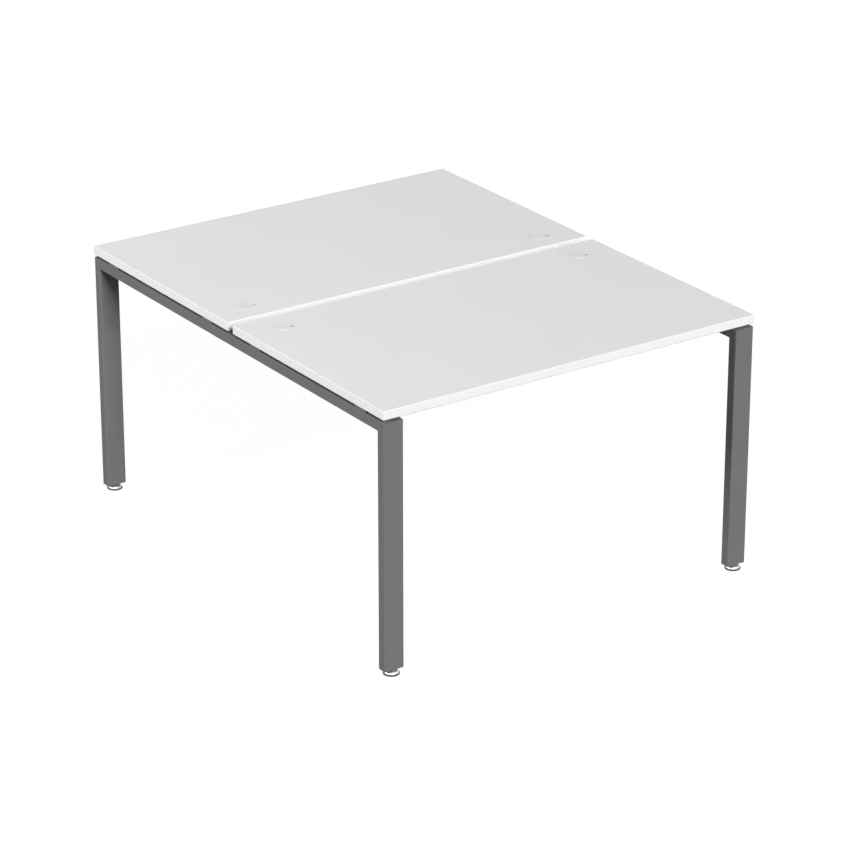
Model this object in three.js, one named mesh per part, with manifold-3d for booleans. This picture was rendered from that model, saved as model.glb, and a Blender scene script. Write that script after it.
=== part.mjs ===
// Benching desk for two: two worktops side by side on two welded end frames.
// Millimetres, +Z up. The origin is the middle of the footprint, on the floor.
// X runs along each user's front edge, Y from the front user to the back user.

import * as THREE from 'three';
import { mergeVertices } from 'three/addons/utils/BufferGeometryUtils.js';
import Module from 'manifold-3d';

const wasm = await Module();
wasm.setup();

// Worktops
const DESK_WIDTH = 1200;
const DESK_HEIGHT = 750;
const WORKTOP_DEPTH = 725;
const WORKTOP_GAP = 25;
const WORKTOP_THICKNESS = 25;
const WORKTOP_OVERHANG = 1;
const EDGE_BAND_THICKNESS = 2;
const EDGE_BAND_CORNER_RADIUS = 3;

// Cable grommets
const GROMMET_HOLE_DIAMETER = 60;
const GROMMET_END_INSET = 110;
const GROMMET_EDGE_INSET = 80;
const LINER_FLANGE_WIDTH = 3.5;
const LINER_FLANGE_HEIGHT = 1.5;
const LINER_FLANGE_SINK = 0.5;
const LINER_WALL = 1.8;
const LINER_LEDGE_WIDTH = 2.5;
const LINER_LEDGE_HEIGHT = 2;
const LINER_DEPTH = 18;
const CAP_THICKNESS = 3;
const CABLE_SLOT_WIDTH = 10;
const CABLE_SLOT_LENGTH = 11;
const CAP_TURN_DEGREES = { front_left: -35, front_right: -42, back_left: -20, back_right: -30 };

// End frames of rectangular tube
const TUBE_WIDTH = 60;
const TUBE_DEPTH = 30;
const TUBE_WALL = 2;
const TUBE_CORNER_RADIUS = 3;

// Spacer pads and the screws through them
const PAD_HEIGHT = 8;
const PAD_LENGTH = 50;
const PAD_EDGE_INSET = 110;
const SCREW_DIAMETER = 5;
const SCREW_HEAD_DIAMETER = 10;
const SCREW_HEAD_HEIGHT = 3;
const SCREW_TIP_COVER = 10;

// Tie rails and their bolts
const RAIL_WIDTH = 40;
const RAIL_HEIGHT = 20;
const RAIL_WALL = 2;
const RAIL_CORNER_RADIUS = 2.5;
const RAIL_PLATE_LENGTH = 100;
const RAIL_PLATE_THICKNESS = 4;
const RAIL_PLATE_MARGIN = 2;
const RAIL_VENT_DIAMETER = 8;
const BOLT_SPACING = 70;
const BOLT_DIAMETER = 6;
const BOLT_HEAD_FLATS = 10;
const BOLT_HEAD_HEIGHT = 4;
const BOLT_REACH = 10;

// Levelling feet
const GLIDE_DIAMETER = 45;
const GLIDE_HEIGHT = 4;
const GLIDE_CHAMFER = 1;
const CUP_DIAMETER = 40;
const CUP_RIM_HEIGHT = 1.5;
const CUP_DOME_HEIGHT = 6;
const CUP_TOP_DIAMETER = 18;
const STEM_DIAMETER = 8;
const COLLAR_FLATS = 13;
const COLLAR_HEIGHT = 4;
const PLUG_HEIGHT = 20;
const FOOT_TRAVEL = 15;

// Clearances between pieces, and between the two halves of a mitre.
// A cutter runs past the face that it opens by the clearance too.
const CLEARANCE = 0.3;
const MITRE_GAP = 0.3;

// Facets on round work
const LARGE_ROUND_SIDES = 24;
const SMALL_ROUND_SIDES = 12;
const CORNER_STEPS = 2;
const DOME_STEPS = 4;

// Places worked out from the sizes above
const worktopBottom = DESK_HEIGHT - WORKTOP_THICKNESS;
const worktopMiddleY = (WORKTOP_GAP + WORKTOP_DEPTH) / 2;
const frameTop = worktopBottom - PAD_HEIGHT;
const beamBottom = frameTop - TUBE_DEPTH;
const beamMiddleZ = frameTop - TUBE_DEPTH / 2;
const frameOuterX = DESK_WIDTH / 2 - WORKTOP_OVERHANG;
const frameOuterY = WORKTOP_GAP / 2 + WORKTOP_DEPTH - WORKTOP_OVERHANG;
const frameInnerX = frameOuterX - TUBE_WIDTH;
const tubeMiddleX = frameOuterX - TUBE_WIDTH / 2;
const legMiddleY = frameOuterY - TUBE_DEPTH / 2;
const cupTop = GLIDE_HEIGHT + CUP_RIM_HEIGHT + CUP_DOME_HEIGHT;
const collarBottom = cupTop + CLEARANCE;
const legBottom = collarBottom + COLLAR_HEIGHT + CLEARANCE;
const grommetX = DESK_WIDTH / 2 - GROMMET_END_INSET;
const grommetY = WORKTOP_GAP / 2 + GROMMET_EDGE_INSET;
const grommetHoleRadius = GROMMET_HOLE_DIAMETER / 2;
const flangeRadius = grommetHoleRadius + LINER_FLANGE_WIDTH;
const flangeTop = LINER_FLANGE_HEIGHT - LINER_FLANGE_SINK;
const padOffsetY = WORKTOP_DEPTH / 2 - PAD_EDGE_INSET;
const screwHoleRadius = SCREW_DIAMETER / 2 + CLEARANCE;
const screwReach = TUBE_DEPTH + PAD_HEIGHT + WORKTOP_THICKNESS - SCREW_TIP_COVER;
const boltHoleRadius = BOLT_DIAMETER / 2 + CLEARANCE;
const railPlateHeight = TUBE_DEPTH - 2 * RAIL_PLATE_MARGIN;
const railHalfSpan = frameInnerX - CLEARANCE;
const stemHoleRadius = STEM_DIAMETER / 2 + CLEARANCE;

const SIDES_X = { left: -1, right: 1 };
const SIDES_Y = { front: -1, back: 1 };
const ENDS_OF_WORKTOP = { outer: 1, inner: -1 };

// Materials
const LAMINATE = { color: 0xf0f0ee, roughness: 0.45, metalness: 0 };
const EDGE_PLASTIC = { color: 0xf4f4f3, roughness: 0.4, metalness: 0 };
const GROMMET_PLASTIC = { color: 0xeeeeec, roughness: 0.4, metalness: 0 };
const FRAME_PAINT = { color: 0x6b6c6d, roughness: 0.55, metalness: 0.2 };
const ZINC = { color: 0xb9bcc0, roughness: 0.35, metalness: 1 };
const CHROME = { color: 0xdadcde, roughness: 0.12, metalness: 1 };
const GLIDE_PLASTIC = { color: 0x3b3c3e, roughness: 0.6, metalness: 0 };
const PLUG_PLASTIC = { color: 0x2c2d2f, roughness: 0.6, metalness: 0 };

// A solid for joining and cutting, from a closed geometry
function toSolid(geometry) {
  const bare = geometry.clone();
  bare.deleteAttribute('normal');
  bare.deleteAttribute('uv');
  const merged = mergeVertices(bare);
  const corners = merged.index.array;
  const kept = [];
  for (let i = 0; i < corners.length; i += 3) {
    const [a, b, c] = corners.slice(i, i + 3);
    if (a !== b && b !== c && c !== a) kept.push(a, b, c);
  }
  const vertProperties = new Float32Array(merged.attributes.position.array);
  const triVerts = new Uint32Array(kept);
  return new wasm.Manifold(new wasm.Mesh({ numProp: 3, vertProperties, triVerts }));
}

function toGeometry(solid) {
  const { vertProperties, triVerts } = solid.getMesh();
  const geometry = new THREE.BufferGeometry();
  geometry.setAttribute('position', new THREE.BufferAttribute(vertProperties, 3));
  geometry.setIndex(new THREE.BufferAttribute(triVerts, 1));
  return geometry;
}

function cut(geometry, cutters) {
  const solid = cutters.reduce((rest, cutter) => rest.subtract(toSolid(cutter)), toSolid(geometry));
  return toGeometry(solid);
}

function join(geometries) {
  return toGeometry(geometries.map(toSolid).reduce((whole, piece) => whole.add(piece)));
}

// Turns an extrusion so that its outline lies in YZ and its length runs along +X
function alongX(geometry) {
  return geometry.applyMatrix4(new THREE.Matrix4().makeBasis(
    new THREE.Vector3(0, 1, 0), new THREE.Vector3(0, 0, 1), new THREE.Vector3(1, 0, 0)));
}

// Turns an extrusion so that its outline lies in ZX and its length runs along +Y
function alongY(geometry) {
  return geometry.applyMatrix4(new THREE.Matrix4().makeBasis(
    new THREE.Vector3(0, 0, 1), new THREE.Vector3(1, 0, 0), new THREE.Vector3(0, 1, 0)));
}

function extrude(outline, depth) {
  return new THREE.ExtrudeGeometry(outline, { depth, bevelEnabled: false, curveSegments: CORNER_STEPS });
}

function roundedRectangle(outline, width, height, radius) {
  const x = width / 2;
  const y = height / 2;
  outline.moveTo(x - radius, -y);
  outline.absarc(x - radius, radius - y, radius, -Math.PI / 2, 0, false);
  outline.absarc(x - radius, y - radius, radius, 0, Math.PI / 2, false);
  outline.absarc(radius - x, y - radius, radius, Math.PI / 2, Math.PI, false);
  outline.absarc(radius - x, radius - y, radius, Math.PI, Math.PI * 1.5, false);
  outline.closePath();
  return outline;
}

// A length of rectangular tube, standing on z = 0 with its ends open
function tube(width, height, wall, radius, length) {
  const outline = roundedRectangle(new THREE.Shape(), width, height, radius);
  const inside = Math.max(radius - wall, wall / 2);
  outline.holes.push(roundedRectangle(new THREE.Path(), width - 2 * wall, height - 2 * wall, inside));
  return extrude(outline, length);
}

// An upright round bar or prism between two heights
function roundBar(radius, bottom, top, sides) {
  const bar = new THREE.CylinderGeometry(radius, radius, top - bottom, sides);
  return bar.rotateX(Math.PI / 2).translate(0, 0, (bottom + top) / 2);
}

function hexagon(flats, bottom, top) {
  return roundBar(flats / Math.sqrt(3), bottom, top, 6);
}

// A turned piece: the profile is [radius, height] points, counter-clockwise, outside going up
function turned(profile, sides) {
  const points = profile.map(([radius, height]) => new THREE.Vector2(radius, height));
  return toGeometry(toSolid(new THREE.LatheGeometry(points, sides).rotateX(Math.PI / 2)));
}

function turnedRing(profile, sides) {
  return turned([...profile, profile[0]], sides);
}

const desk = new THREE.Group();
desk.name = 'benching_desk_for_two';

function addPiece(name, geometry, look, x, y, z) {
  const mesh = new THREE.Mesh(geometry, new THREE.MeshStandardMaterial(look));
  mesh.name = name;
  mesh.position.set(x, y, z);
  desk.add(mesh);
  return mesh;
}

// Worktop board: bored right through for the grommets, with a shallow rebate for each flange,
// and bored from below for the screws
function worktopBoard(sideY) {
  const width = DESK_WIDTH - 2 * EDGE_BAND_THICKNESS;
  const depth = WORKTOP_DEPTH - 2 * EDGE_BAND_THICKNESS;
  const board = new THREE.BoxGeometry(width, depth, WORKTOP_THICKNESS);
  board.translate(0, 0, WORKTOP_THICKNESS / 2);
  const cutters = [];
  for (const sideX of Object.values(SIDES_X)) {
    const holeX = sideX * grommetX;
    const holeY = sideY * (grommetY - worktopMiddleY);
    const above = WORKTOP_THICKNESS + CLEARANCE;
    const rebateFloor = WORKTOP_THICKNESS - LINER_FLANGE_SINK;
    const hole = roundBar(grommetHoleRadius, -CLEARANCE, above, LARGE_ROUND_SIDES);
    const rebate = roundBar(flangeRadius + CLEARANCE, rebateFloor, above, LARGE_ROUND_SIDES);
    cutters.push(hole.translate(holeX, holeY, 0), rebate.translate(holeX, holeY, 0));
    for (const end of Object.values(ENDS_OF_WORKTOP)) {
      const top = WORKTOP_THICKNESS - SCREW_TIP_COVER + CLEARANCE;
      const bore = roundBar(screwHoleRadius, -CLEARANCE, top, SMALL_ROUND_SIDES);
      cutters.push(bore.translate(sideX * tubeMiddleX, sideY * end * padOffsetY, 0));
    }
  }
  return cut(board, cutters);
}

function edgeBand() {
  const outline = roundedRectangle(new THREE.Shape(), DESK_WIDTH, WORKTOP_DEPTH, EDGE_BAND_CORNER_RADIUS);
  const x = DESK_WIDTH / 2 - EDGE_BAND_THICKNESS;
  const y = WORKTOP_DEPTH / 2 - EDGE_BAND_THICKNESS;
  const inside = [[-x, -y], [x, -y], [x, y], [-x, y]].map(([px, py]) => new THREE.Vector2(px, py));
  outline.holes.push(new THREE.Path(inside));
  return extrude(outline, WORKTOP_THICKNESS);
}

// Grommet liner: a flange let into the worktop, a recess and ledge for the cap, and a thin sleeve.
// Its z = 0 is the worktop surface.
const linerRadius = grommetHoleRadius - CLEARANCE;
const recessRadius = linerRadius - LINER_WALL;
const ledgeTop = flangeTop - CAP_THICKNESS - CLEARANCE;

function grommetLiner() {
  const ledgeRadius = recessRadius - LINER_LEDGE_WIDTH;
  const ledgeBottom = ledgeTop - LINER_LEDGE_HEIGHT;
  return turnedRing([
    [linerRadius, -LINER_DEPTH],
    [linerRadius, -LINER_FLANGE_SINK],
    [flangeRadius, -LINER_FLANGE_SINK],
    [flangeRadius, 0],
    [flangeRadius - flangeTop, flangeTop],
    [recessRadius, flangeTop],
    [recessRadius, ledgeTop],
    [ledgeRadius, ledgeTop],
    [ledgeRadius, ledgeBottom],
    [recessRadius, ledgeBottom],
    [recessRadius, -LINER_DEPTH],
  ], LARGE_ROUND_SIDES);
}

// Grommet cap: a disc with a round-ended cable slot open at its rim, towards +X
function grommetCap() {
  const radius = recessRadius - CLEARANCE;
  const half = CABLE_SLOT_WIDTH / 2;
  const slotAngle = Math.asin(half / radius);
  const slotMiddle = radius - CABLE_SLOT_LENGTH + half;
  const outline = new THREE.Shape();
  outline.absarc(0, 0, radius, slotAngle, 2 * Math.PI - slotAngle, false);
  outline.lineTo(slotMiddle, -half);
  outline.absarc(slotMiddle, 0, half, -Math.PI / 2, Math.PI / 2, true);
  outline.closePath();
  const curveSegments = LARGE_ROUND_SIDES / 2;
  return new THREE.ExtrudeGeometry(outline, { depth: CAP_THICKNESS, bevelEnabled: false, curveSegments });
}

// What the mitre takes off at the frame's top corner on one side: seen along X, the part of the
// corner on the far side of the slanted cut from the tube that is kept
function mitreCutter(sideY, keepsLeg) {
  const shift = MITRE_GAP / Math.SQRT2;
  const reach = 2 * TUBE_DEPTH;
  const corner = [[-reach, shift - reach], [reach, shift + reach], [reach, shift - reach]];
  const outline = corner.map(([along, across]) => {
    const inward = keepsLeg ? along : across;
    const down = keepsLeg ? across : along;
    return new THREE.Vector2(sideY * (frameOuterY - inward), frameTop - down);
  });
  const length = TUBE_WIDTH + 2 * TUBE_DEPTH;
  return alongX(extrude(new THREE.Shape(outline), length)).translate(-length / 2, 0, 0);
}

// Leg: its z = 0 is the floor and its axis is the tube's own
function leg(sideY) {
  const post = tube(TUBE_WIDTH, TUBE_DEPTH, TUBE_WALL, TUBE_CORNER_RADIUS, frameTop - legBottom);
  post.translate(0, 0, legBottom);
  return cut(post, [mitreCutter(sideY, true).translate(0, -sideY * legMiddleY, 0)]);
}

// End beam: its z = 0 is the floor, its ends are mitred, and it is drilled for screws and rail bolts
function endBeam(sideX) {
  const beam = tube(TUBE_DEPTH, TUBE_WIDTH, TUBE_WALL, TUBE_CORNER_RADIUS, 2 * frameOuterY);
  alongY(beam).translate(0, -frameOuterY, beamMiddleZ);
  const cutters = [mitreCutter(-1, false), mitreCutter(1, false)];
  for (const sideY of Object.values(SIDES_Y)) {
    for (const end of Object.values(ENDS_OF_WORKTOP)) {
      const holeBottom = beamBottom - CLEARANCE;
      const holeTop = frameTop + CLEARANCE;
      const screwHole = roundBar(screwHoleRadius, holeBottom, holeTop, SMALL_ROUND_SIDES);
      cutters.push(screwHole.translate(0, sideY * (worktopMiddleY + end * padOffsetY), 0));
      const boltHole = roundBar(boltHoleRadius, 0, TUBE_WIDTH, SMALL_ROUND_SIDES);
      boltHole.rotateY(-sideX * Math.PI / 2);
      const boltY = sideY * (worktopMiddleY + end * BOLT_SPACING / 2);
      cutters.push(boltHole.translate(0, boltY, beamMiddleZ));
    }
  }
  return cut(beam, cutters);
}

function spacerPad() {
  const pad = new THREE.BoxGeometry(TUBE_WIDTH, PAD_LENGTH, PAD_HEIGHT).translate(0, 0, PAD_HEIGHT / 2);
  return cut(pad, [roundBar(screwHoleRadius, -CLEARANCE, PAD_HEIGHT + CLEARANCE, SMALL_ROUND_SIDES)]);
}

// Worktop screw: the head's seat is at z = 0 and the shank goes up
function worktopScrew() {
  const tip = SCREW_DIAMETER / 2;
  return turned([
    [0, -SCREW_HEAD_HEIGHT],
    [SCREW_HEAD_DIAMETER / 2 - SCREW_HEAD_HEIGHT / 2, -SCREW_HEAD_HEIGHT],
    [SCREW_HEAD_DIAMETER / 2, 0],
    [SCREW_DIAMETER / 2, 0],
    [SCREW_DIAMETER / 2, screwReach - tip],
    [0, screwReach],
  ], SMALL_ROUND_SIDES);
}

// Tie rail along X: a tube let into an end plate at each end, with a vent through each plate
function tieRail() {
  const plateInner = railHalfSpan - RAIL_PLATE_THICKNESS;
  const tubeHalf = railHalfSpan - RAIL_PLATE_THICKNESS / 2;
  const bar = tube(RAIL_WIDTH, RAIL_HEIGHT, RAIL_WALL, RAIL_CORNER_RADIUS, 2 * tubeHalf);
  const pieces = [alongX(bar).translate(-tubeHalf, 0, 0)];
  const cutters = [];
  for (const sideX of Object.values(SIDES_X)) {
    const plate = new THREE.BoxGeometry(RAIL_PLATE_THICKNESS, RAIL_PLATE_LENGTH, railPlateHeight);
    pieces.push(plate.translate(sideX * (plateInner + RAIL_PLATE_THICKNESS / 2), 0, 0));
    for (const [y, radius] of [
      [-BOLT_SPACING / 2, boltHoleRadius], [0, RAIL_VENT_DIAMETER / 2], [BOLT_SPACING / 2, boltHoleRadius],
    ]) {
      const hole = roundBar(radius, plateInner - CLEARANCE, railHalfSpan + CLEARANCE, SMALL_ROUND_SIDES);
      cutters.push(hole.rotateY(sideX * Math.PI / 2).translate(0, y, 0));
    }
  }
  return cut(join(pieces), cutters);
}

// Rail bolt: the head's seat is at z = 0 and the shank goes towards +Z
function railBolt() {
  const shankEnd = RAIL_PLATE_THICKNESS + 2 * CLEARANCE + TUBE_WALL + BOLT_REACH;
  return join([
    hexagon(BOLT_HEAD_FLATS, -BOLT_HEAD_HEIGHT, 0),
    roundBar(BOLT_DIAMETER / 2, -BOLT_HEAD_HEIGHT / 2, shankEnd, SMALL_ROUND_SIDES),
  ]);
}

// Leg plug: fills the leg's open end round the foot's stem
function legPlug() {
  const shrink = 2 * (TUBE_WALL + CLEARANCE);
  const inside = Math.max(TUBE_CORNER_RADIUS - TUBE_WALL, TUBE_WALL / 2);
  const outline = roundedRectangle(new THREE.Shape(), TUBE_WIDTH - shrink, TUBE_DEPTH - shrink, inside);
  const bore = roundBar(stemHoleRadius, -CLEARANCE, PLUG_HEIGHT + CLEARANCE, SMALL_ROUND_SIDES);
  return cut(extrude(outline, PLUG_HEIGHT), [bore]);
}

// Foot stem: a screw up through the plug, with a hexagonal collar between cup and plug
function footStem() {
  const stemTop = legBottom + PLUG_HEIGHT + FOOT_TRAVEL;
  return join([
    roundBar(STEM_DIAMETER / 2, GLIDE_HEIGHT + CLEARANCE, stemTop, SMALL_ROUND_SIDES),
    hexagon(COLLAR_FLATS, collarBottom, collarBottom + COLLAR_HEIGHT),
  ]);
}

// Foot cup: a bright dome on the glide, bored for the stem
function footCup() {
  const rimTop = GLIDE_HEIGHT + CUP_RIM_HEIGHT;
  const rimRadius = CUP_DIAMETER / 2;
  const topRadius = CUP_TOP_DIAMETER / 2;
  const dome = [];
  for (let step = 0; step <= DOME_STEPS; step += 1) {
    const angle = (step / DOME_STEPS) * Math.PI / 2;
    const radius = topRadius + (rimRadius - topRadius) * Math.cos(angle);
    dome.push([radius, rimTop + CUP_DOME_HEIGHT * Math.sin(angle)]);
  }
  return turnedRing([
    [stemHoleRadius, GLIDE_HEIGHT], [rimRadius, GLIDE_HEIGHT], ...dome, [stemHoleRadius, cupTop],
  ], LARGE_ROUND_SIDES);
}

function footGlide() {
  const radius = GLIDE_DIAMETER / 2;
  return turned([
    [0, 0],
    [radius - GLIDE_CHAMFER, 0],
    [radius, GLIDE_CHAMFER],
    [radius, GLIDE_HEIGHT],
    [0, GLIDE_HEIGHT],
  ], LARGE_ROUND_SIDES);
}

for (const [nameY, sideY] of Object.entries(SIDES_Y)) {
  const middleY = sideY * worktopMiddleY;
  addPiece(`worktop_${nameY}`, worktopBoard(sideY), LAMINATE, 0, middleY, worktopBottom);
  addPiece(`edge_band_${nameY}`, edgeBand(), EDGE_PLASTIC, 0, middleY, worktopBottom);
  addPiece(`tie_rail_${nameY}`, tieRail(), FRAME_PAINT, 0, middleY, beamMiddleZ);
}

for (const [nameX, sideX] of Object.entries(SIDES_X)) {
  addPiece(`end_beam_${nameX}`, endBeam(sideX), FRAME_PAINT, sideX * tubeMiddleX, 0, 0);
}

for (const [nameY, sideY] of Object.entries(SIDES_Y)) {
  for (const [nameX, sideX] of Object.entries(SIDES_X)) {
    const place = `${nameY}_${nameX}`;
    const holeX = sideX * grommetX;
    const holeY = sideY * grommetY;
    const legX = sideX * tubeMiddleX;
    const legY = sideY * legMiddleY;

    addPiece(`grommet_liner_${place}`, grommetLiner(), GROMMET_PLASTIC, holeX, holeY, DESK_HEIGHT);
    const capBottom = DESK_HEIGHT + ledgeTop + CLEARANCE;
    const cap = addPiece(`grommet_cap_${place}`, grommetCap(), GROMMET_PLASTIC, holeX, holeY, capBottom);
    cap.rotation.z = THREE.MathUtils.degToRad(CAP_TURN_DEGREES[place]);

    addPiece(`leg_${place}`, leg(sideY), FRAME_PAINT, legX, legY, 0);
    addPiece(`leg_plug_${place}`, legPlug(), PLUG_PLASTIC, legX, legY, legBottom);
    addPiece(`foot_stem_${place}`, footStem(), ZINC, legX, legY, 0);
    addPiece(`foot_cup_${place}`, footCup(), CHROME, legX, legY, 0);
    addPiece(`foot_glide_${place}`, footGlide(), GLIDE_PLASTIC, legX, legY, 0);

    for (const [nameEnd, end] of Object.entries(ENDS_OF_WORKTOP)) {
      const padY = sideY * (worktopMiddleY + end * padOffsetY);
      addPiece(`spacer_pad_${place}_${nameEnd}`, spacerPad(), FRAME_PAINT, legX, padY, frameTop);
      addPiece(`worktop_screw_${place}_${nameEnd}`, worktopScrew(), ZINC, legX, padY, beamBottom);
      const boltX = sideX * (railHalfSpan - RAIL_PLATE_THICKNESS - CLEARANCE);
      const boltY = sideY * (worktopMiddleY + end * BOLT_SPACING / 2);
      const bolt = addPiece(`rail_bolt_${place}_${nameEnd}`, railBolt(), ZINC, boltX, boltY, beamMiddleZ);
      bolt.rotation.y = sideX * Math.PI / 2;
    }
  }
}

export default desk;
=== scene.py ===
"""Looks of the benching desk for two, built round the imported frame."""
import math

import bmesh
import bpy
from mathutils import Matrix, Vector


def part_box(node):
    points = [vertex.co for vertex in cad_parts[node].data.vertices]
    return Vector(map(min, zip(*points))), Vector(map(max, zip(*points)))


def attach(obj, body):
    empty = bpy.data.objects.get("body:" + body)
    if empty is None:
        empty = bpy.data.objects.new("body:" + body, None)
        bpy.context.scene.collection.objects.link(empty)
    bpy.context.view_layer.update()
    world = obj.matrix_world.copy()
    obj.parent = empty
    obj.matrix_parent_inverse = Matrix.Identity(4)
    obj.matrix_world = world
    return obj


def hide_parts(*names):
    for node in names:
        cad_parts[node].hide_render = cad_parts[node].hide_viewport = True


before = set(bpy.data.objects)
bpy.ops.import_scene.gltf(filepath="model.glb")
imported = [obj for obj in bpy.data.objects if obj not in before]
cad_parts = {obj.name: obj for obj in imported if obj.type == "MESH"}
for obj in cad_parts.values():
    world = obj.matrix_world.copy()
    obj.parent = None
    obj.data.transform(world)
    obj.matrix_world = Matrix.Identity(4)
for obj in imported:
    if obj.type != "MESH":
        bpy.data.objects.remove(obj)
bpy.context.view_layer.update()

MM = 0.001
CLEARANCE = 0.3 * MM
WHITE = (1, 1, 1, 1)

# Names of the places on the desk, as the frame has them
ENDS_X = ("left", "right")
ENDS_Y = ("front", "back")
PAD_ENDS = ("outer", "inner")
PLACES = [f"{y}_{x}" for y in ENDS_Y for x in ENDS_X]

# Mesh fineness
SHARP_ANGLE = math.radians(40)
MERGE_DISTANCE = 0.002 * MM
ROUND_SIDES = 96
SMALL_ROUND_SIDES = 24
CORNER_STEPS = 6
SIDE_STEPS = 6
ARRIS_STEPS = 5
DOME_STEPS = 16

# Worktop edge
EDGE_ARRIS = 2 * MM
EDGE_CORNER_RADIUS = 1.5 * MM
ARRIS_TINT_HEIGHT = 2.5 * MM
# Painted highlight: the edge band turns whiter towards its top arris
PAINTED_HIGHLIGHT_COLOUR = (0.89, 0.89, 0.89)
# Painted shade: the edge band turns greyer towards its bottom arris
PAINTED_SHADE_COLOUR = (0.6, 0.6, 0.6)

# Frame: tubes, pads, tie rails and their welds
TUBE_WALL = 2 * MM
TUBE_CORNER_RADIUS = 3 * MM
TUBE_INNER_RADIUS = 1.2 * MM
PAD_CORNER_RADIUS = 2 * MM
PAD_ARRIS = 0.6 * MM
WELD_WIDTH = 2.5 * MM
WELD_STEPS = 4
RAIL_WIDTH = 40 * MM
RAIL_HEIGHT = 20 * MM
RAIL_CORNER_RADIUS = 2.5 * MM
RAIL_PLATE_THICKNESS = 4 * MM

# Cable grommets, heights counted from the worktop surface
GROMMET_HOLE_RADIUS = 30 * MM
FLANGE_SINK = 0.5 * MM
FLANGE_TOP = 1 * MM
FLANGE_LIP = 0.3 * MM
LINER_WALL = 1.8 * MM
LINER_RADIUS = GROMMET_HOLE_RADIUS - CLEARANCE
LINER_FOOT_CHAMFER = 0.5 * MM
RECESS_RADIUS = LINER_RADIUS - LINER_WALL
RECESS_ARRIS = 0.5 * MM
CAP_RADIUS = RECESS_RADIUS - CLEARANCE
CAP_THICKNESS = 3 * MM
CAP_ARRIS = 0.7 * MM
LEDGE_WIDTH = 2.5 * MM
LEDGE_HEIGHT = 2 * MM
LEDGE_RADIUS = RECESS_RADIUS - LEDGE_WIDTH
LEDGE_TOP = FLANGE_TOP - CAP_THICKNESS - CLEARANCE
LEDGE_BOTTOM = LEDGE_TOP - LEDGE_HEIGHT
SLOT_WIDTH = 10 * MM
SLOT_LENGTH = 11 * MM
SLOT_UNDERCUT = 0.9 * MM
SLOT_STEPS = 16
CAP_TURN_DEGREES = {"front_left": -35, "front_right": -42, "back_left": -20, "back_right": -30}

# Levelling feet
CUP_RIM_HEIGHT = 1.5 * MM
CUP_TOP_RADIUS = 9 * MM
CUP_LIP = 0.4 * MM
GLIDE_ROUND = 1 * MM
GLIDE_GROOVE_DEPTH = 0.5 * MM
GLIDE_GROOVE_WIDTH = 0.8 * MM
STEM_RADIUS = 4 * MM
STEM_BORE_RADIUS = STEM_RADIUS + CLEARANCE
STEM_TIP_CHAMFER = 1 * MM
THREAD_PITCH = 1.25 * MM
THREAD_DEPTH = 0.6 * MM
THREAD_ROWS_PER_TURN = 6
COLLAR_FLATS = 13 * MM
COLLAR_HEIGHT = 4 * MM
COLLAR_CHAMFER = 0.6 * MM
PLUG_ARRIS = 0.5 * MM
PLUG_CORNER_RADIUS = 1 * MM

# Screws and bolts
SCREW_RADIUS = 2.5 * MM
SCREW_HOLE_RADIUS = SCREW_RADIUS + CLEARANCE
SCREW_HEAD_HEIGHT = 3 * MM
SCREW_CROWN_RADIUS = 2.8 * MM
SCREW_SOCKET_FLATS = 3 * MM
SCREW_SOCKET_DEPTH = 1.6 * MM
SCREW_POINT = 4 * MM
POINT_RADIUS = 0.3 * MM
BOLT_RADIUS = 3 * MM
BOLT_HEAD_FLATS = 10 * MM
BOLT_HEAD_HEIGHT = 4 * MM
BOLT_CHAMFER = 0.5 * MM

# Surface grain: soft clouds and a fine grain share the drift of each colour
NOISE_LOW = 0.3
NOISE_HIGH = 0.7
CLOUD_DETAIL = 4
CLOUD_ROUGHNESS = 0.5
GRAIN_DETAIL = 3
GRAIN_ROUGHNESS = 0.6
CLOUD_SHARE = 0.6

# Camera: where it looks, from which side and how far, in metres; lens and sensor in millimetres
CAMERA_TARGET = Vector((0.0088, -0.0326, 0.3231))
CAMERA_AZIMUTH = math.radians(-34.39)
CAMERA_ELEVATION = math.radians(22.93)
CAMERA_DISTANCE = 10
CAMERA_LENS = 151.3
CAMERA_SENSOR = 36

# Light and floor, in metres; the floor lies below the feet's travel, which keeps them in sight
WORLD_LEVEL = 0.07
WORLD_SEEN = 1
FLOOR_HALF_SIZE = 60
FOOT_TRAVEL = 15 * MM
FLOOR_DROP = FOOT_TRAVEL + CLEARANCE
FLOOR_BOUNCE = (0.22, 0.22, 0.22, 1)
FLOOR_SHADED = (0.14, 0.14, 0.14, 1)
FLOOR_GLOW = 0.93
FLOOR_FADE_START = 4
FLOOR_FADE_END = 10
# Each lamp: azimuth and elevation in degrees, distance, width and height in metres, and the level
# that it adds to a white face turned to it; a fill lamp isn't mirrored in glossy faces
MAIN_LAMPS = {
    "front_lamp": (-11, 31, 40, 13, 8, 0.885),
    "left_lamp": (-95, 22, 8, 2.4, 1.8, 0.58),
}
FILL_LAMPS = {
    "back_lamp": (155, 6, 20, 10, 3, 0.6),
    "right_lamp": (70, 7, 40, 16, 5, 0.5),
}


# Materials

def noise(tree, coordinates, scale, detail, roughness):
    """A noise texture in the object's own coordinates; scale is in repeats per metre."""
    texture = tree.nodes.new("ShaderNodeTexNoise")
    texture.inputs["Scale"].default_value = scale
    texture.inputs["Detail"].default_value = detail
    texture.inputs["Roughness"].default_value = roughness
    tree.links.new(coordinates, texture.inputs["Vector"])
    return texture.outputs["Fac"]


def spread(tree, value, low, high, start=NOISE_LOW, end=NOISE_HIGH):
    """Stretches a value's range from start to end over low to high."""
    remap = tree.nodes.new("ShaderNodeMapRange")
    remap.inputs["From Min"].default_value = start
    remap.inputs["From Max"].default_value = end
    remap.inputs["To Min"].default_value = low
    remap.inputs["To Max"].default_value = high
    tree.links.new(value, remap.inputs["Value"])
    return remap.outputs["Result"]


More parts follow.
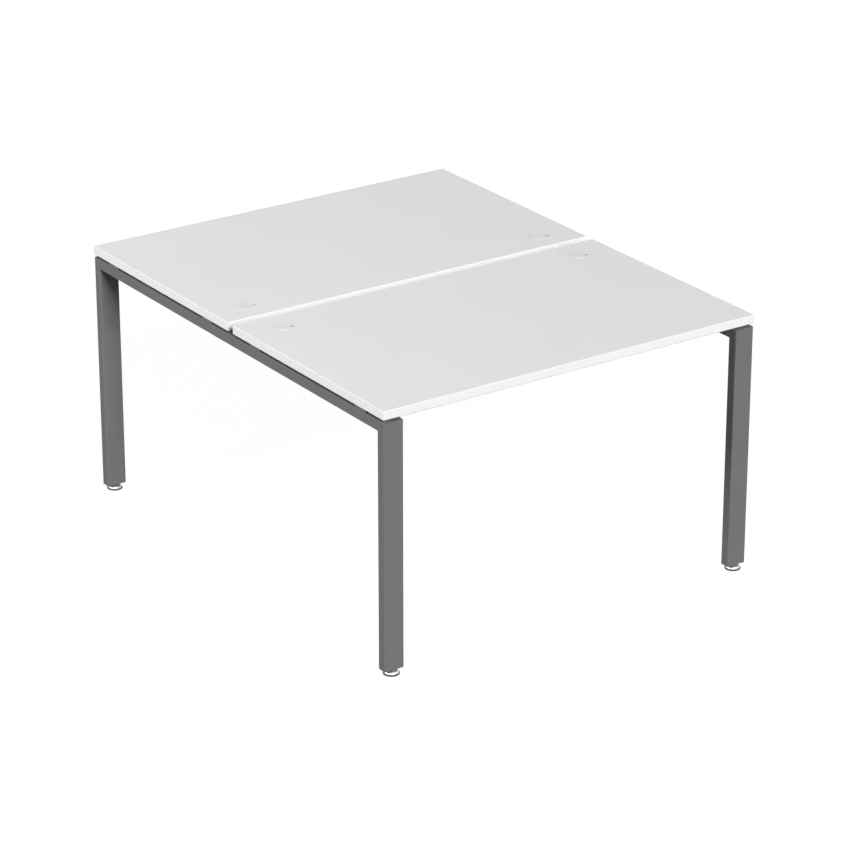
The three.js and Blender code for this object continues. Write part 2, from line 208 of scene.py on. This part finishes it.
def grained_material(name, dark, light, cloud_scale, grain_scale, rough, bump, metallic=0.0, specular=0.5):
    """A surface whose colour drifts softly, with a fine grain in its gloss and relief.

    rough is the lowest and highest roughness, bump the relief's strength and depth.
    """
    material = bpy.data.materials.new(name)
    material.use_nodes = True
    tree = material.node_tree
    shader = tree.nodes["Principled BSDF"]
    shader.inputs["Metallic"].default_value = metallic
    shader.inputs["Specular IOR Level"].default_value = specular
    coordinates = tree.nodes.new("ShaderNodeTexCoord").outputs["Object"]
    cloud = noise(tree, coordinates, cloud_scale, CLOUD_DETAIL, CLOUD_ROUGHNESS)
    grain = noise(tree, coordinates, grain_scale, GRAIN_DETAIL, GRAIN_ROUGHNESS)

    blend = tree.nodes.new("ShaderNodeMath")
    blend.operation = "ADD"
    tree.links.new(spread(tree, cloud, 0, CLOUD_SHARE), blend.inputs[0])
    tree.links.new(spread(tree, grain, 0, 1 - CLOUD_SHARE), blend.inputs[1])
    tint = tree.nodes.new("ShaderNodeMix")
    tint.data_type = "RGBA"
    tint.inputs["A"].default_value = (*dark, 1)
    tint.inputs["B"].default_value = (*light, 1)
    tree.links.new(blend.outputs["Value"], tint.inputs["Factor"])
    tree.links.new(tint.outputs["Result"], shader.inputs["Base Color"])
    tree.links.new(spread(tree, grain, *rough), shader.inputs["Roughness"])

    bump_strength, bump_depth = bump
    relief = tree.nodes.new("ShaderNodeBump")
    relief.inputs["Strength"].default_value = bump_strength
    relief.inputs["Distance"].default_value = bump_depth
    tree.links.new(grain, relief.inputs["Height"])
    tree.links.new(relief.outputs["Normal"], shader.inputs["Normal"])
    return material


def tint_strip(material, colour, bare, full):
    """Turns a material to a colour where the height passes from bare to full."""
    tree = material.node_tree
    shader = tree.nodes["Principled BSDF"]
    plain = shader.inputs["Base Color"].links[0].from_socket
    place = tree.nodes.new("ShaderNodeSeparateXYZ")
    tree.links.new(tree.nodes["Texture Coordinate"].outputs["Object"], place.inputs["Vector"])
    tint = tree.nodes.new("ShaderNodeMix")
    tint.data_type = "RGBA"
    tint.inputs["B"].default_value = (*colour, 1)
    tree.links.new(spread(tree, place.outputs["Z"], 0, 1, bare, full), tint.inputs["Factor"])
    tree.links.new(plain, tint.inputs["A"])
    tree.links.new(tint.outputs["Result"], shader.inputs["Base Color"])


def paint_arris_highlight_and_shade(material):
    """Paints light and shade on the worktop edge: a painted highlight makes it whiter towards its top
    arris, and a painted shade line makes it greyer along its bottom one.
    """
    low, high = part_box("edge_band_front")
    # painted highlight along the top arris
    tint_strip(material, PAINTED_HIGHLIGHT_COLOUR, high.z - ARRIS_TINT_HEIGHT, high.z - ARRIS_TINT_HEIGHT / 2)
    # painted shade line along the bottom arris
    tint_strip(material, PAINTED_SHADE_COLOUR, low.z + ARRIS_TINT_HEIGHT, low.z + ARRIS_TINT_HEIGHT / 2)


LAMINATE = grained_material(
    "laminate", dark=(0.835, 0.835, 0.832), light=(0.865, 0.865, 0.862),
    cloud_scale=3, grain_scale=1600, rough=(0.42, 0.52), bump=(0.08, 0.05 * MM))
EDGE = grained_material(
    "edge_abs", dark=(0.845, 0.845, 0.842), light=(0.87, 0.87, 0.868),
    cloud_scale=6, grain_scale=900, rough=(0.2, 0.3), bump=(0.04, 0.05 * MM))
# the edge band gets a painted highlight on its top arris and a painted shade line on its bottom arris
paint_arris_highlight_and_shade(EDGE)
GROMMET = grained_material(
    "grommet_abs", dark=(0.785, 0.785, 0.782), light=(0.82, 0.82, 0.817),
    cloud_scale=40, grain_scale=2200, rough=(0.42, 0.55), bump=(0.15, 0.04 * MM))
PAINT = grained_material(
    "powder_coat", dark=(0.162, 0.163, 0.164), light=(0.178, 0.179, 0.18),
    cloud_scale=5, grain_scale=1100, rough=(0.5, 0.62), bump=(0.25, 0.08 * MM), specular=0.02)
CHROME = grained_material(
    "chrome", dark=(0.8, 0.81, 0.82), light=(0.88, 0.89, 0.9),
    cloud_scale=60, grain_scale=500, rough=(0.34, 0.44), bump=(0.02, 0.02 * MM), metallic=0.88)
ZINC = grained_material(
    "zinc_plate", dark=(0.48, 0.49, 0.5), light=(0.64, 0.65, 0.66),
    cloud_scale=200, grain_scale=1500, rough=(0.25, 0.42), bump=(0.1, 0.03 * MM), metallic=1.0)
GLIDE = grained_material(
    "glide_nylon", dark=(0.055, 0.056, 0.058), light=(0.08, 0.081, 0.083),
    cloud_scale=60, grain_scale=1200, rough=(0.5, 0.65), bump=(0.2, 0.06 * MM))
PLUG = grained_material(
    "plug_nylon", dark=(0.02, 0.021, 0.022), light=(0.035, 0.036, 0.037),
    cloud_scale=60, grain_scale=1200, rough=(0.5, 0.65), bump=(0.2, 0.06 * MM))


# Mesh building

def loft(mesh, loops, ring=False, cap_first=False, cap_last=False):
    """Joins point loops of equal length by walls, and closes the ends where asked."""
    rows = [[mesh.verts.new(point) for point in loop] for loop in loops]
    pairs = list(zip(rows, rows[1:]))
    if ring:
        pairs.append((rows[-1], rows[0]))
    for lower, upper in pairs:
        for i in range(len(lower)):
            j = (i + 1) % len(lower)
            mesh.faces.new((lower[i], lower[j], upper[j], upper[i]))
    if cap_first:
        mesh.faces.new(list(reversed(rows[0])))
    if cap_last:
        mesh.faces.new(rows[-1])


def finished(name, mesh, material, body, slot, *nodes):
    """Turns the mesh into a piece that rides on a body and stands for these nodes."""
    bmesh.ops.remove_doubles(mesh, verts=mesh.verts, dist=MERGE_DISTANCE)
    bmesh.ops.recalc_face_normals(mesh, faces=mesh.faces)
    for face in mesh.faces:
        face.smooth = True
    for edge in mesh.edges:
        if len(edge.link_faces) == 2:
            edge.smooth = edge.calc_face_angle() < SHARP_ANGLE
    data = bpy.data.meshes.new(name)
    mesh.to_mesh(data)
    mesh.free()
    data.materials.append(material)
    piece = bpy.data.objects.new(name, data)
    bpy.context.scene.collection.objects.link(piece)
    weighted = piece.modifiers.new("flat_faces_stay_flat", "WEIGHTED_NORMAL")
    weighted.keep_sharp = True
    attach(piece, body)
    if nodes:
        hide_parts(*nodes)


def circle(radius, sides):
    """Points round a circle, as (x, y) pairs."""
    turns = [2 * math.pi * i / sides for i in range(sides)]
    return [(radius * math.cos(turn), radius * math.sin(turn)) for turn in turns]


def hexagon(flats, sides):
    """Points round a hexagon; sides is a multiple of six, so that the corners are among them."""
    points = []
    for i in range(sides):
        turn = 2 * math.pi * i / sides
        from_middle = turn % (math.pi / 3) - math.pi / 6
        radius = flats / 2 / math.cos(from_middle)
        points.append((radius * math.cos(turn), radius * math.sin(turn)))
    return points


def rounded_rectangle(width, depth, radius):
    """Points round a rectangle with round corners, some of them along its straight sides."""
    points = []
    corners = [(1, 1, 0), (-1, 1, 1), (-1, -1, 2), (1, -1, 3)]
    for sign_x, sign_y, quarter in corners:
        middle_x = sign_x * (width / 2 - radius)
        middle_y = sign_y * (depth / 2 - radius)
        for step in range(CORNER_STEPS + 1):
            turn = (quarter + step / CORNER_STEPS) * math.pi / 2
            points.append((middle_x + radius * math.cos(turn), middle_y + radius * math.sin(turn)))
        next_x, next_y, _ = corners[(quarter + 1) % len(corners)]
        start = points[-1]
        turn = (quarter + 1) * math.pi / 2
        end = (next_x * (width / 2 - radius) + radius * math.cos(turn),
               next_y * (depth / 2 - radius) + radius * math.sin(turn))
        for step in range(1, SIDE_STEPS):
            share = step / SIDE_STEPS
            points.append((start[0] + (end[0] - start[0]) * share, start[1] + (end[1] - start[1]) * share))
    return points


def onto_circle(points, radius):
    """The same points drawn in or out along their rays to a circle."""
    return [(x * radius / math.hypot(x, y), y * radius / math.hypot(x, y)) for x, y in points]


def level(points, middle, height):
    """Lays (x, y) pairs out flat at a height, round a middle point."""
    return [Vector((middle.x + x, middle.y + y, height)) for x, y in points]


def turned(mesh, middle, profile, sides, **ends):
    """Turns (radius, height) pairs round an upright line through the middle point."""
    loft(mesh, [level(circle(radius, sides), middle, height) for radius, height in profile], **ends)


def quarter_arc(radius_from, radius_to, height_from, height_to, steps):
    """A quarter of an ellipse that leaves the first point upright and reaches the second one level."""
    turns = [math.pi / 2 * step / steps for step in range(steps + 1)]
    return [(radius_to + (radius_from - radius_to) * math.cos(turn),
             height_from + (height_to - height_from) * math.sin(turn)) for turn in turns]


def middle_of(node):
    """The middle point of a node's box."""
    low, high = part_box(node)
    return (low + high) / 2


# Worktops: the board keeps its shape, and the edge band gets its rounded arrises

def band_loop(half_x, half_y, middle, outward, thickness, height):
    """One line round the edge band, so far out from the board; its corners round towards the outside."""
    radius = EDGE_CORNER_RADIUS * outward / thickness
    reach_x = half_x + outward - radius
    reach_y = half_y + outward - radius
    points = []
    for quarter, (sign_x, sign_y) in enumerate([(1, 1), (-1, 1), (-1, -1), (1, -1)]):
        for step in range(CORNER_STEPS + 1):
            turn = (quarter + step / CORNER_STEPS) * math.pi / 2
            points.append((sign_x * reach_x + radius * math.cos(turn),
                           sign_y * reach_y + radius * math.sin(turn)))
    return level(points, middle, height)


def edge_band(side):
    """The band round one worktop, with its top and bottom arrises rounded."""
    node = f"edge_band_{side}"
    low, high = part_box(node)
    board_low, board_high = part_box(f"worktop_{side}")
    middle = (low + high) / 2
    half_x = (board_high.x - board_low.x) / 2
    half_y = (board_high.y - board_low.y) / 2
    thickness = high.x - board_high.x
    flat_reach = thickness - EDGE_ARRIS
    bottom_arris = quarter_arc(thickness, flat_reach, low.z + EDGE_ARRIS, low.z, ARRIS_STEPS)
    top_arris = quarter_arc(thickness, flat_reach, high.z - EDGE_ARRIS, high.z, ARRIS_STEPS)
    profile = [(0, low.z), *bottom_arris[::-1], *top_arris, (0, high.z)]
    loops = [band_loop(half_x, half_y, middle, outward, thickness, height) for outward, height in profile]
    mesh = bmesh.new()
    loft(mesh, loops, ring=True)
    finished(f"edge_{side}", mesh, EDGE, "root", "edge_band", node)


# Frame: mitred tubes, pads between frame and worktops, and the tie rails' weld beads

def leg(place):
    """An upright tube, open below, whose top is cut to the mitre."""
    node = f"leg_{place}"
    low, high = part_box(node)
    beam_low, beam_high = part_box(f"end_beam_{place.split('_')[1]}")
    middle = (low + high) / 2
    outward = 1 if place.startswith("back") else -1
    outer_y = beam_high.y if outward > 0 else beam_low.y
    width = high.x - low.x
    depth = high.y - low.y
    loops = []
    for inset, radius in ((0, TUBE_CORNER_RADIUS), (TUBE_WALL, TUBE_INNER_RADIUS)):
        outline = rounded_rectangle(width - 2 * inset, depth - 2 * inset, radius)
        bottom = level(outline, middle, low.z)
        top = [Vector((point.x, point.y, beam_high.z - abs(outer_y - point.y))) for point in bottom]
        loops += [bottom, top] if inset == 0 else [top, bottom]
    mesh = bmesh.new()
    loft(mesh, loops, ring=True)
    finished(f"leg_tube_{place}", mesh, PAINT, "root", "frame_paint", node)


def end_beam(side):
    """A tube from front to back, cut to the mitre at both ends."""
    node = f"end_beam_{side}"
    low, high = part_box(node)
    middle = (low + high) / 2
    loops = []
    for inset, radius in ((0, TUBE_CORNER_RADIUS), (TUBE_WALL, TUBE_INNER_RADIUS)):
        outline = rounded_rectangle(high.x - low.x - 2 * inset, high.z - low.z - 2 * inset, radius)
        section = [(middle.x + across, middle.z + up) for across, up in outline]
        front = [Vector((x, low.y + (high.z - z), z)) for x, z in section]
        back = [Vector((x, high.y - (high.z - z), z)) for x, z in section]
        loops += [front, back] if inset == 0 else [back, front]
    mesh = bmesh.new()
    loft(mesh, loops, ring=True)
    finished(f"beam_tube_{side}", mesh, PAINT, "root", "frame_paint", node)


def bored_block(mesh, low, high, corner_radius, arris, bore_radius):
    """A block with round corners, broken arrises and an upright bore through its middle."""
    middle = (low + high) / 2
    width = high.x - low.x
    depth = high.y - low.y
    outer = rounded_rectangle(width, depth, corner_radius)
    inset = rounded_rectangle(width - 2 * arris, depth - 2 * arris, corner_radius - arris)
    bore = onto_circle(outer, bore_radius)
    loft(mesh, [
        level(bore, middle, low.z),
        level(inset, middle, low.z),
        level(outer, middle, low.z + arris),
        level(outer, middle, high.z - arris),
        level(inset, middle, high.z),
        level(bore, middle, high.z),
    ], ring=True)


def spacer_pad(place, end):
    """The pad between beam and worktop, bored for its screw."""
    node = f"spacer_pad_{place}_{end}"
    mesh = bmesh.new()
    bored_block(mesh, *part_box(node), PAD_CORNER_RADIUS, PAD_ARRIS, SCREW_HOLE_RADIUS)
    finished(f"pad_{place}_{end}", mesh, PAINT, "root", "frame_paint", node)


def weld_bead(rail, side):
    """A fillet of weld where the tie rail's tube meets its end plate."""
    low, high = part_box(f"tie_rail_{rail}")
    middle = (low + high) / 2
    inward = 1 if side == "left" else -1
    plate_face = (low.x if inward > 0 else high.x) + inward * RAIL_PLATE_THICKNESS
    loops = []
    for step in range(WELD_STEPS + 1):
        turn = math.pi / 2 * step / WELD_STEPS
        out = WELD_WIDTH * (1 - math.sin(turn))
        along = WELD_WIDTH * (1 - math.cos(turn))
        outline = rounded_rectangle(RAIL_WIDTH + 2 * out, RAIL_HEIGHT + 2 * out, RAIL_CORNER_RADIUS + out)
        x = plate_face + inward * along
        loops.append([Vector((x, middle.y + across, middle.z + up)) for across, up in outline])
    inner = rounded_rectangle(RAIL_WIDTH, RAIL_HEIGHT, RAIL_CORNER_RADIUS)
    loops.append([Vector((plate_face, middle.y + across, middle.z + up)) for across, up in inner])
    mesh = bmesh.new()
    loft(mesh, loops, ring=True)
    finished(f"weld_bead_{rail}_{side}", mesh, PAINT, "root", "frame_paint")


# Screws and bolts

def worktop_screw(place, end):
    """A screw that points up, with a round head and a hexagon socket."""
    node = f"worktop_screw_{place}_{end}"
    low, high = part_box(node)
    middle = (low + high) / 2
    head_radius = (high.x - low.x) / 2
    head_top = low.z + SCREW_HEAD_HEIGHT
    socket = hexagon(SCREW_SOCKET_FLATS, SMALL_ROUND_SIDES)
    loops = [level(socket, middle, low.z + SCREW_SOCKET_DEPTH), level(socket, middle, low.z)]
    head = quarter_arc(head_radius, SCREW_CROWN_RADIUS, head_top, low.z, ARRIS_STEPS)
    profile = [
        *head[::-1],
        (SCREW_RADIUS, head_top),
        (SCREW_RADIUS, high.z - SCREW_POINT),
        (POINT_RADIUS, high.z),
    ]
    loops += [level(circle(radius, SMALL_ROUND_SIDES), middle, height) for radius, height in profile]
    mesh = bmesh.new()
    loft(mesh, loops, cap_first=True, cap_last=True)
    finished(f"screw_{place}_{end}", mesh, ZINC, "root", "zinc", node)


def rail_bolt(place, end):
    """A hexagon bolt through the tie rail's plate into the end beam."""
    node = f"rail_bolt_{place}_{end}"
    low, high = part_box(node)
    middle = (low + high) / 2
    outward = -1 if place.endswith("left") else 1
    head_end = high.x if outward < 0 else low.x
    reach = high.x - low.x
    head = hexagon(BOLT_HEAD_FLATS, SMALL_ROUND_SIDES)
    crown = circle(BOLT_HEAD_FLATS / 2 - BOLT_CHAMFER, SMALL_ROUND_SIDES)
    shank = circle(BOLT_RADIUS, SMALL_ROUND_SIDES)
    tip = circle(BOLT_RADIUS - BOLT_CHAMFER, SMALL_ROUND_SIDES)
    sections = [
        (crown, 0),
        (head, BOLT_CHAMFER),
        (head, BOLT_HEAD_HEIGHT),
        (shank, BOLT_HEAD_HEIGHT),
        (shank, reach - BOLT_CHAMFER),
        (tip, reach),
    ]
    loops = []
    for points, depth in sections:
        x = head_end + outward * depth
        loops.append([Vector((x, middle.y + across, middle.z + up)) for across, up in points])
    mesh = bmesh.new()
    loft(mesh, loops, cap_first=True, cap_last=True)
    finished(f"bolt_{place}_{end}", mesh, ZINC, "root", "zinc", node)


# Cable grommets

def grommet_liner(place):
    """A flange on the worktop, which slopes up to the cap's recess, with a ledge and a sleeve below it."""
    node = f"grommet_liner_{place}"
    low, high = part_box(node)
    middle = (low + high) / 2
    surface = high.z - FLANGE_TOP
    flange_radius = (high.x - low.x) / 2
    depth = low.z - surface
    profile = [
        (LINER_RADIUS - LINER_FOOT_CHAMFER, depth),
        (LINER_RADIUS, depth + LINER_FOOT_CHAMFER),
        (LINER_RADIUS, -FLANGE_SINK),
        (flange_radius, -FLANGE_SINK),
        *quarter_arc(flange_radius, flange_radius - FLANGE_LIP, 0, FLANGE_LIP, ARRIS_STEPS),
        (RECESS_RADIUS + RECESS_ARRIS, FLANGE_TOP),
        (RECESS_RADIUS, FLANGE_TOP - RECESS_ARRIS),
        (RECESS_RADIUS, LEDGE_TOP),
        (LEDGE_RADIUS, LEDGE_TOP),
        (LEDGE_RADIUS, LEDGE_BOTTOM),
        (RECESS_RADIUS, LEDGE_BOTTOM),
        (RECESS_RADIUS, depth),
    ]
    mesh = bmesh.new()
    raised = [(radius, surface + height) for radius, height in profile]
    turned(mesh, middle, raised, ROUND_SIDES, ring=True)
    finished(f"liner_{place}", mesh, GROMMET, "root", "grommet_plastic", node)


def cap_outline(inset, undercut):
    """The cap's outline, drawn in by an inset, with its cable slot towards +X, wider by the undercut."""
    radius = CAP_RADIUS - inset
    half = SLOT_WIDTH / 2 + inset + undercut
    slot_angle = math.asin(half / radius)
    slot_middle = CAP_RADIUS - SLOT_LENGTH + SLOT_WIDTH / 2
    points = []
    for step in range(ROUND_SIDES + 1):
        turn = slot_angle + (2 * math.pi - 2 * slot_angle) * step / ROUND_SIDES
        points.append((radius * math.cos(turn), radius * math.sin(turn)))
    for step in range(SLOT_STEPS + 1):
        turn = -math.pi / 2 - math.pi * step / SLOT_STEPS
        points.append((slot_middle + half * math.cos(turn), half * math.sin(turn)))
    return points


def grommet_cap(place):
    """A disc with a cable slot, turned as the photo shows it; the slot's walls lean back under its edge."""
    node = f"grommet_cap_{place}"
    low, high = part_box(node)
    middle = middle_of(f"grommet_liner_{place}")
    turn = math.radians(CAP_TURN_DEGREES[place])
    sections = [
        (CAP_ARRIS, SLOT_UNDERCUT, low.z),
        (0, SLOT_UNDERCUT, low.z + CAP_ARRIS),
        (0, 0, high.z - CAP_ARRIS),
        (CAP_ARRIS, 0, high.z),
    ]
    loops = []
    for inset, undercut, height in sections:
        points = [(x * math.cos(turn) - y * math.sin(turn), x * math.sin(turn) + y * math.cos(turn))
                  for x, y in cap_outline(inset, undercut)]
        loops.append(level(points, middle, height))
    mesh = bmesh.new()
    loft(mesh, loops, cap_first=True, cap_last=True)
    finished(f"cap_{place}", mesh, GROMMET, f"cap_{place}", "grommet_plastic", node)


# Levelling feet

def foot_glide(place):
    """The disc that stands on the floor, with a groove round it."""
    node = f"foot_glide_{place}"
    low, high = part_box(node)
    middle = (low + high) / 2
    radius = (high.x - low.x) / 2
    groove_bottom = middle.z - GLIDE_GROOVE_WIDTH / 2
    groove_top = middle.z + GLIDE_GROOVE_WIDTH / 2
    lower_edge = quarter_arc(radius, radius - GLIDE_ROUND, low.z + GLIDE_ROUND, low.z, ARRIS_STEPS)
    profile = [
        *lower_edge[::-1],
        (radius, groove_bottom),
        (radius - GLIDE_GROOVE_DEPTH, groove_bottom),
        (radius - GLIDE_GROOVE_DEPTH, groove_top),
        (radius, groove_top),
        (radius, high.z - GLIDE_GROOVE_DEPTH),
        (radius - GLIDE_GROOVE_DEPTH, high.z),
    ]
    mesh = bmesh.new()
    turned(mesh, middle, profile, ROUND_SIDES, cap_first=True, cap_last=True)
    finished(f"glide_{place}", mesh, GLIDE, f"foot_{place}", "glide_plastic", node)


def foot_cup(place):
    """The dome on the glide, bored for the stem."""
    node = f"foot_cup_{place}"
    low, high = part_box(node)
    middle = (low + high) / 2
    radius = (high.x - low.x) / 2
    profile = [
        (STEM_BORE_RADIUS, low.z),
        (radius - CUP_LIP, low.z),
        (radius, low.z + CUP_LIP),
        *quarter_arc(radius, CUP_TOP_RADIUS, low.z + CUP_RIM_HEIGHT, high.z, DOME_STEPS),
        (STEM_BORE_RADIUS + CUP_LIP, high.z),
        (STEM_BORE_RADIUS, high.z - CUP_LIP),
    ]
    mesh = bmesh.new()
    turned(mesh, middle, profile, ROUND_SIDES, ring=True)
    finished(f"cup_{place}", mesh, CHROME, f"foot_{place}", "foot_chrome", node)


def thread_loop(middle, height):
    """One level line round the thread, whose crest climbs once per turn."""
    points = []
    for i in range(SMALL_ROUND_SIDES):
        turn = i / SMALL_ROUND_SIDES
        phase = (height / THREAD_PITCH - turn) % 1
        radius = STEM_RADIUS - THREAD_DEPTH * abs(2 * phase - 1)
        points.append((radius * math.cos(2 * math.pi * turn), radius * math.sin(2 * math.pi * turn)))
    return level(points, middle, height)


def foot_stem(place):
    """A threaded stem with a hexagon collar under the leg."""
    node = f"foot_stem_{place}"
    low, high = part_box(node)
    middle = (low + high) / 2
    leg_low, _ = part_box(f"leg_{place}")
    collar_top = leg_low.z - CLEARANCE
    collar_bottom = collar_top - COLLAR_HEIGHT
    pin = circle(STEM_RADIUS, SMALL_ROUND_SIDES)
    flats = hexagon(COLLAR_FLATS, SMALL_ROUND_SIDES)
    face = circle(COLLAR_FLATS / 2, SMALL_ROUND_SIDES)
    loops = [
        level(pin, middle, low.z),
        level(pin, middle, collar_bottom),
        level(face, middle, collar_bottom),
        level(flats, middle, collar_bottom + COLLAR_CHAMFER),
        level(flats, middle, collar_top - COLLAR_CHAMFER),
        level(face, middle, collar_top),
    ]
    thread_length = high.z - STEM_TIP_CHAMFER - collar_top
    rows = round(thread_length / THREAD_PITCH * THREAD_ROWS_PER_TURN)
    loops += [thread_loop(middle, collar_top + thread_length * row / rows) for row in range(rows + 1)]
    loops.append(level(circle(STEM_RADIUS - STEM_TIP_CHAMFER, SMALL_ROUND_SIDES), middle, high.z))
    mesh = bmesh.new()
    loft(mesh, loops, cap_first=True, cap_last=True)
    finished(f"stem_{place}", mesh, ZINC, f"stem_{place}", "zinc", node)


def leg_plug(place):
    """The block in the leg's open end that carries the stem."""
    node = f"leg_plug_{place}"
    mesh = bmesh.new()
    bored_block(mesh, *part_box(node), PLUG_CORNER_RADIUS, PLUG_ARRIS, STEM_BORE_RADIUS)
    finished(f"plug_{place}", mesh, PLUG, "root", "plug_plastic", node)


# Build every piece

def keep_solid(node, material):
    """Gives a material to a node that keeps its solid."""
    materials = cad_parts[node].data.materials
    materials.clear()
    materials.append(material)


for side_y in ENDS_Y:
    edge_band(side_y)
    keep_solid(f"worktop_{side_y}", LAMINATE)
    keep_solid(f"tie_rail_{side_y}", PAINT)
    for side_x in ENDS_X:
        weld_bead(side_y, side_x)

for side_x in ENDS_X:
    end_beam(side_x)

for where in PLACES:
    leg(where)
    leg_plug(where)
    foot_stem(where)
    foot_cup(where)
    foot_glide(where)
    grommet_liner(where)
    grommet_cap(where)
    for pad_end in PAD_ENDS:
        spacer_pad(where, pad_end)
        worktop_screw(where, pad_end)
        rail_bolt(where, pad_end)


# Floor, light and camera

def seen_directly(tree):
    """1 for rays from the camera and for mirrored or refracted ones, 0 for light that bounces about."""
    path = tree.nodes.new("ShaderNodeLightPath")
    first = tree.nodes.new("ShaderNodeMath")
    first.operation = "MAXIMUM"
    tree.links.new(path.outputs["Is Camera Ray"], first.inputs[0])
    tree.links.new(path.outputs["Is Glossy Ray"], first.inputs[1])
    both = tree.nodes.new("ShaderNodeMath")
    both.operation = "MAXIMUM"
    tree.links.new(first.outputs["Value"], both.inputs[0])
    tree.links.new(path.outputs["Is Transmission Ray"], both.inputs[1])
    return both.outputs["Value"]


def white_floor():
    """A floor that looks white and keeps a soft shadow, and lights the desk as a plain pale floor does.

    Far from the desk it fades to the white of the world, so that no horizon shows.
    """
    material = bpy.data.materials.new("floor_white")
    material.use_nodes = True
    tree = material.node_tree
    tree.nodes.remove(tree.nodes["Principled BSDF"])
    bounce = tree.nodes.new("ShaderNodeBsdfDiffuse")
    bounce.inputs["Color"].default_value = FLOOR_BOUNCE
    shaded = tree.nodes.new("ShaderNodeBsdfDiffuse")
    shaded.inputs["Color"].default_value = FLOOR_SHADED
    glow = tree.nodes.new("ShaderNodeEmission")
    glow.inputs["Strength"].default_value = FLOOR_GLOW
    seen = tree.nodes.new("ShaderNodeAddShader")
    tree.links.new(shaded.outputs["BSDF"], seen.inputs[0])
    tree.links.new(glow.outputs["Emission"], seen.inputs[1])
    distance = tree.nodes.new("ShaderNodeVectorMath")
    distance.operation = "LENGTH"
    tree.links.new(tree.nodes.new("ShaderNodeTexCoord").outputs["Object"], distance.inputs[0])
    fade = spread(tree, distance.outputs["Value"], 0, 1, FLOOR_FADE_START, FLOOR_FADE_END)
    far = tree.nodes.new("ShaderNodeEmission")
    far.inputs["Strength"].default_value = WORLD_SEEN
    faded = tree.nodes.new("ShaderNodeMixShader")
    tree.links.new(fade, faded.inputs["Fac"])
    tree.links.new(seen.outputs["Shader"], faded.inputs[1])
    tree.links.new(far.outputs["Emission"], faded.inputs[2])
    choice = tree.nodes.new("ShaderNodeMixShader")
    tree.links.new(seen_directly(tree), choice.inputs["Fac"])
    tree.links.new(bounce.outputs["BSDF"], choice.inputs[1])
    tree.links.new(faded.outputs["Shader"], choice.inputs[2])
    tree.links.new(choice.outputs["Shader"], tree.nodes["Material Output"].inputs["Surface"])

    data = bpy.data.meshes.new("floor")
    corners = [(sign_x * FLOOR_HALF_SIZE, sign_y * FLOOR_HALF_SIZE, -FLOOR_DROP)
               for sign_x, sign_y in ((-1, -1), (1, -1), (1, 1), (-1, 1))]
    data.from_pydata(corners, [], [(0, 1, 2, 3)])
    data.materials.append(material)
    floor = bpy.data.objects.new("floor", data)
    bpy.context.scene.collection.objects.link(floor)


def soft_world():
    """A white world to look at, which lights the desk only faintly."""
    world = bpy.data.worlds.new("soft_world")
    world.use_nodes = True
    tree = world.node_tree
    around = tree.nodes["Background"]
    around.inputs["Color"].default_value = WHITE
    around.inputs["Strength"].default_value = WORLD_LEVEL
    white = tree.nodes.new("ShaderNodeBackground")
    white.inputs["Color"].default_value = WHITE
    white.inputs["Strength"].default_value = WORLD_SEEN
    choice = tree.nodes.new("ShaderNodeMixShader")
    tree.links.new(seen_directly(tree), choice.inputs["Fac"])
    tree.links.new(around.outputs["Background"], choice.inputs[1])
    tree.links.new(white.outputs["Background"], choice.inputs[2])
    tree.links.new(choice.outputs["Shader"], tree.nodes["World Output"].inputs["Surface"])
    bpy.context.scene.world = world


def towards(azimuth, elevation):
    """Unit direction from the desk; azimuth 0 is straight in front of it, on -Y."""
    return Vector((math.sin(azimuth) * math.cos(elevation),
                   -math.cos(azimuth) * math.cos(elevation),
                   math.sin(elevation)))


def soft_lamp(name, azimuth, elevation, distance, width, height, level_added, mirrored):
    """A large lamp that faces the desk.

    A lamp of P watts, far off, lights a white face turned to it to a level of P / (pi * distance) ** 2.
    """
    data = bpy.data.lights.new(name, "AREA")
    data.shape = "RECTANGLE"
    data.size = width
    data.size_y = height
    data.energy = level_added * (math.pi * distance) ** 2
    lamp = bpy.data.objects.new(name, data)
    back = towards(math.radians(azimuth), math.radians(elevation))
    lamp.location = CAMERA_TARGET + back * distance
    lamp.rotation_euler = (-back).to_track_quat("-Z", "Y").to_euler()
    lamp.visible_camera = False
    lamp.visible_glossy = mirrored
    bpy.context.scene.collection.objects.link(lamp)


def photo_camera():
    """The camera at the photo's viewing angle."""
    data = bpy.data.cameras.new("photo_camera")
    data.lens = CAMERA_LENS
    data.sensor_width = CAMERA_SENSOR
    data.clip_end = 2 * FLOOR_HALF_SIZE
    camera = bpy.data.objects.new("photo_camera", data)
    back = towards(CAMERA_AZIMUTH, CAMERA_ELEVATION)
    camera.location = CAMERA_TARGET + back * CAMERA_DISTANCE
    camera.rotation_euler = (-back).to_track_quat("-Z", "Y").to_euler()
    bpy.context.scene.collection.objects.link(camera)
    bpy.context.scene.camera = camera


white_floor()
soft_world()
for lamp_name, lamp_setting in MAIN_LAMPS.items():
    soft_lamp(lamp_name, *lamp_setting, mirrored=True)
for lamp_name, lamp_setting in FILL_LAMPS.items():
    soft_lamp(lamp_name, *lamp_setting, mirrored=False)
photo_camera()
bpy.context.scene.view_settings.view_transform = "Standard"

bpy.context.view_layer.update()
